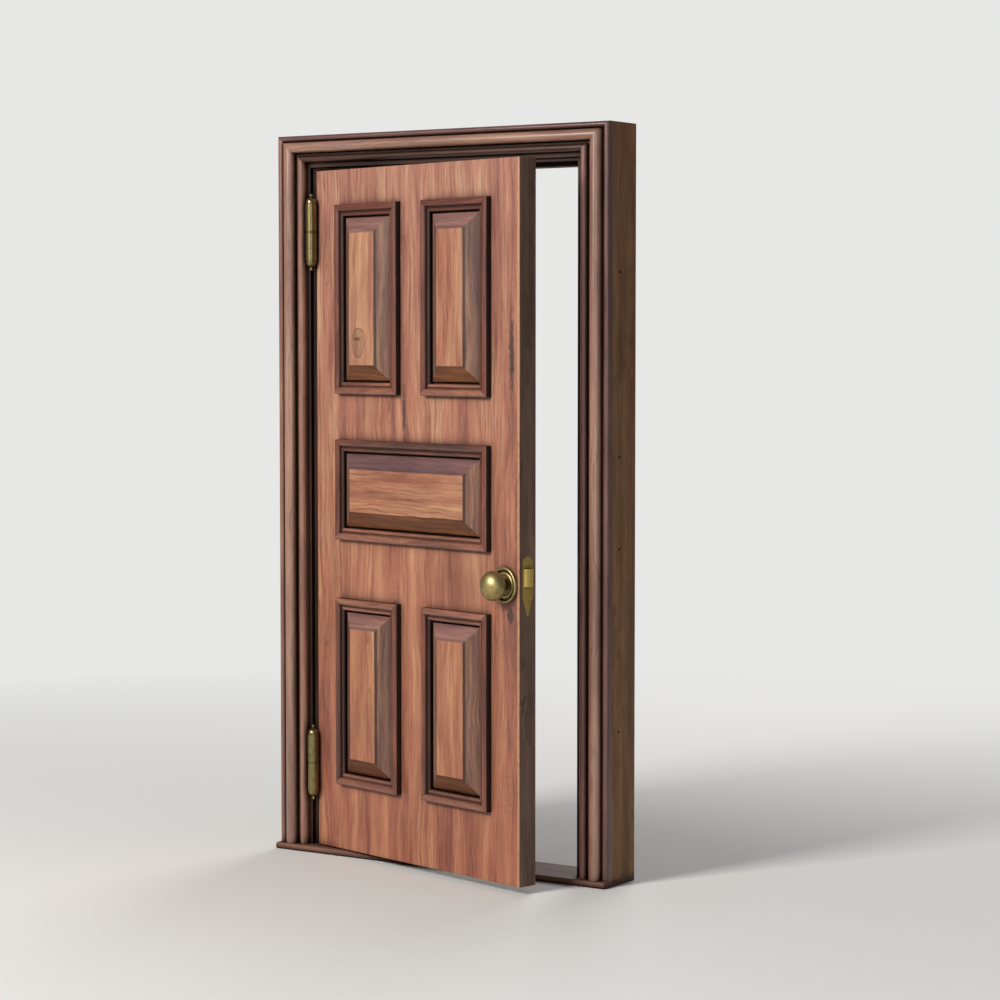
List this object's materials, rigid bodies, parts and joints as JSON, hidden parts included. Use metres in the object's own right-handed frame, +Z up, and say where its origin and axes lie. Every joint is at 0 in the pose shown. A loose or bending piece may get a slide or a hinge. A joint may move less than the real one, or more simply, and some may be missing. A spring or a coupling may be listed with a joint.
{
  "type": "panelled front door in its frame",
  "caption": "Panelled wooden front door hung ajar in a moulded frame, with lift-off hinges, round knobs and a spring latch.",
  "frame": {"origin": "on the threshold's underside, at mid-width, 14 mm in front of the jambs' front", "axes": "+X towards the lock jamb, +Y in through the doorway, +Z up; the leaf opens towards -Y"},
  "size_m": [1.167, 0.4341, 2.1615],
  "materials": {
    "leaf_wood": "satin varnish",
    "panel_wood": "satin varnish",
    "moulding_wood": "satin varnish",
    "frame_wood": "satin varnish",
    "casing_wood": "satin varnish",
    "aged_brass": "aged, worn bright",
    "steel": "brushed"
  },
  "bodies": {
    "frame": {"hinge_jamb": "frame_wood", "lock_jamb": "frame_wood", "head_jamb": "frame_wood", "threshold": "frame_wood", "hinge_side_casing": "casing_wood", "lock_side_casing": "casing_wood", "head_casing": "casing_wood", "strike_plate": "aged_brass", "upper_hinge_jamb_half": "aged_brass", "lower_hinge_jamb_half": "aged_brass", "jamb_hinge_finials": "aged_brass", "hinge_pins": "steel", "strike_screws": "steel", "jamb_hinge_screws": "steel", "hinge_washers": "aged_brass"},
    "leaf": {"hinge_stile": "leaf_wood", "lock_stile": "leaf_wood", "top_rail": "leaf_wood", "cross_rail": "leaf_wood", "lock_rail": "leaf_wood", "bottom_rail": "leaf_wood", "upper_mullion": "leaf_wood", "lower_mullion": "leaf_wood", "lower_left_panel": "panel_wood", "lower_right_panel": "panel_wood", "middle_panel": "panel_wood", "upper_left_panel": "panel_wood", "upper_right_panel": "panel_wood", "lower_left_front_moulding": "moulding_wood", "lower_left_back_moulding": "moulding_wood", "lower_right_front_moulding": "moulding_wood", "lower_right_back_moulding": "moulding_wood", "middle_front_moulding": "moulding_wood", "middle_back_moulding": "moulding_wood", "upper_left_front_moulding": "moulding_wood", "upper_left_back_moulding": "moulding_wood", "upper_right_front_moulding": "moulding_wood", "upper_right_back_moulding": "moulding_wood", "upper_hinge_leaf_half": "aged_brass", "lower_hinge_leaf_half": "aged_brass", "leaf_hinge_finials": "aged_brass", "latch_plate": "aged_brass", "front_rosette": "aged_brass", "back_rosette": "aged_brass", "lock_case": "steel", "leaf_hinge_screws": "steel"},
    "knob": {"front_knob": "aged_brass", "back_knob": "aged_brass", "spindle": "steel", "latch_hub": "steel"},
    "latch": {"latch_bolt": "aged_brass"}
  },
  "joints": [
    {"name": "leaf_swing", "type": "hinge", "parent": "frame", "child": "leaf", "pos_m": [-0.459, -0.004, 0], "axis": [0, 0, -1], "range_deg": [-15.4, 90]},
    {"name": "knob_turn", "type": "hinge", "parent": "leaf", "child": "knob", "pos_m": [0.37442, -0.21489, 0.8675], "axis": [-0.2656, -0.9641, 0], "range_deg": [0, 50], "stiffness_Nm_per_rad": 0.8},
    {"name": "latch_slide", "type": "slide", "parent": "leaf", "child": "latch", "axis": [-0.9641, 0.2656, 0], "range_m": [0, 0.0141]}
  ],
  "couplings": [
    {"joint": "latch_slide", "follows": "knob_turn", "m_per_rad": 0.016043}
  ]
}
